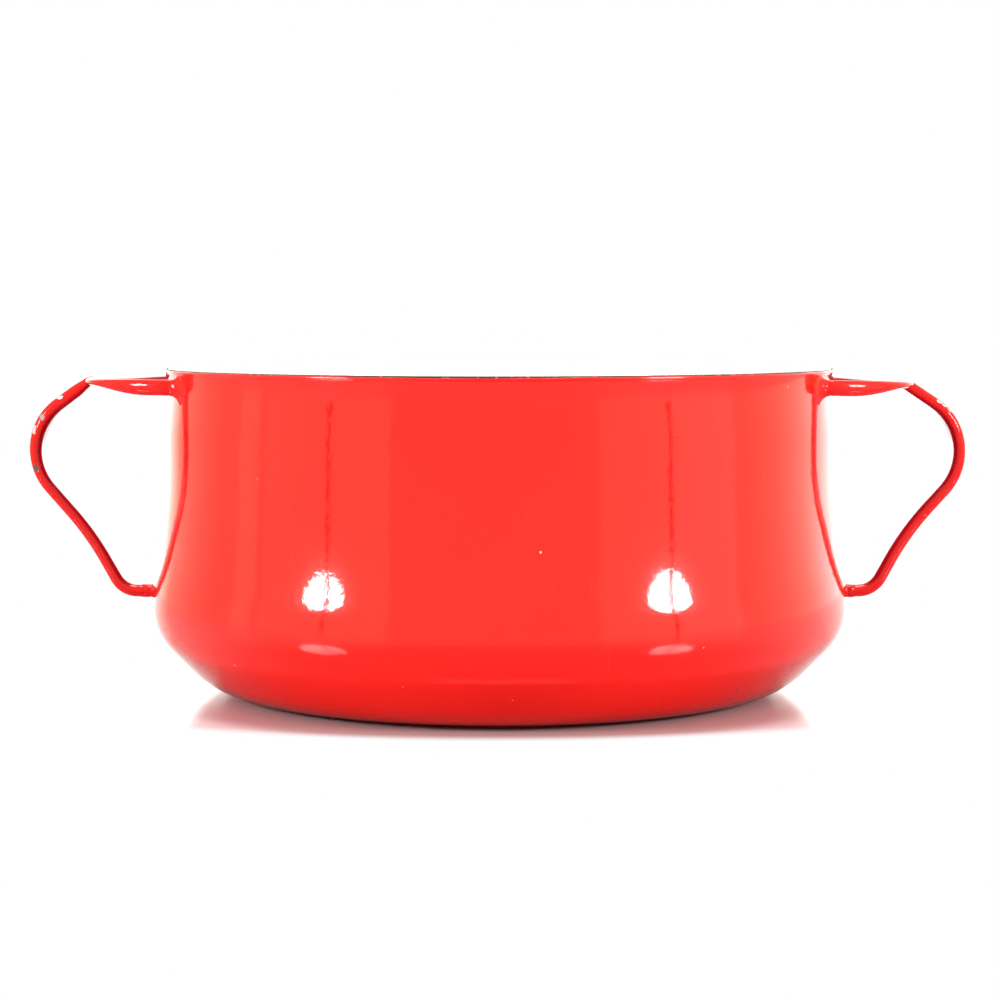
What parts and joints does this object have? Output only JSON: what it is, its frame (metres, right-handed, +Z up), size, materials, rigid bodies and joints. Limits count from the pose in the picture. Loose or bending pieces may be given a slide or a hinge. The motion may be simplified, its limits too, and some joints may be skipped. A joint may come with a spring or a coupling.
{
  "type": "enamelled casserole",
  "caption": "Waisted two-handled cooking pot of enamelled pressed steel with a low wide belly, flared lip and bent bar handles, open at the top.",
  "frame": {"origin": "centre of the standing ring, on the surface the pot stands on", "axes": "+X from the left handle to the right handle, +Y away from the camera, +Z up through the mouth"},
  "size_m": [0.3688, 0.2728, 0.126],
  "materials": {
    "steel": "dull bare pressed steel, scuffed on the standing ring",
    "red_enamel": "glossy red vitreous enamel",
    "pale_enamel": "glossy off-white vitreous enamel",
    "ground_coat": "dark ground coat left uncovered on the lip",
    "handle_enamel": "glossy red enamel over steel bar and weld"
  },
  "bodies": {
    "root": {"steel_shell": "steel", "exterior_enamel": "red_enamel", "interior_enamel": "pale_enamel", "underside_enamel": "red_enamel", "rim_edge": "ground_coat", "left_handle_bow": "handle_enamel", "left_handle_stem": "handle_enamel", "left_front_rim_weld": "handle_enamel", "left_rear_rim_weld": "handle_enamel", "left_foot_weld": "handle_enamel", "right_handle_bow": "handle_enamel", "right_handle_stem": "handle_enamel", "right_front_rim_weld": "handle_enamel", "right_rear_rim_weld": "handle_enamel", "right_foot_weld": "handle_enamel"}
  },
  "joints": []
}
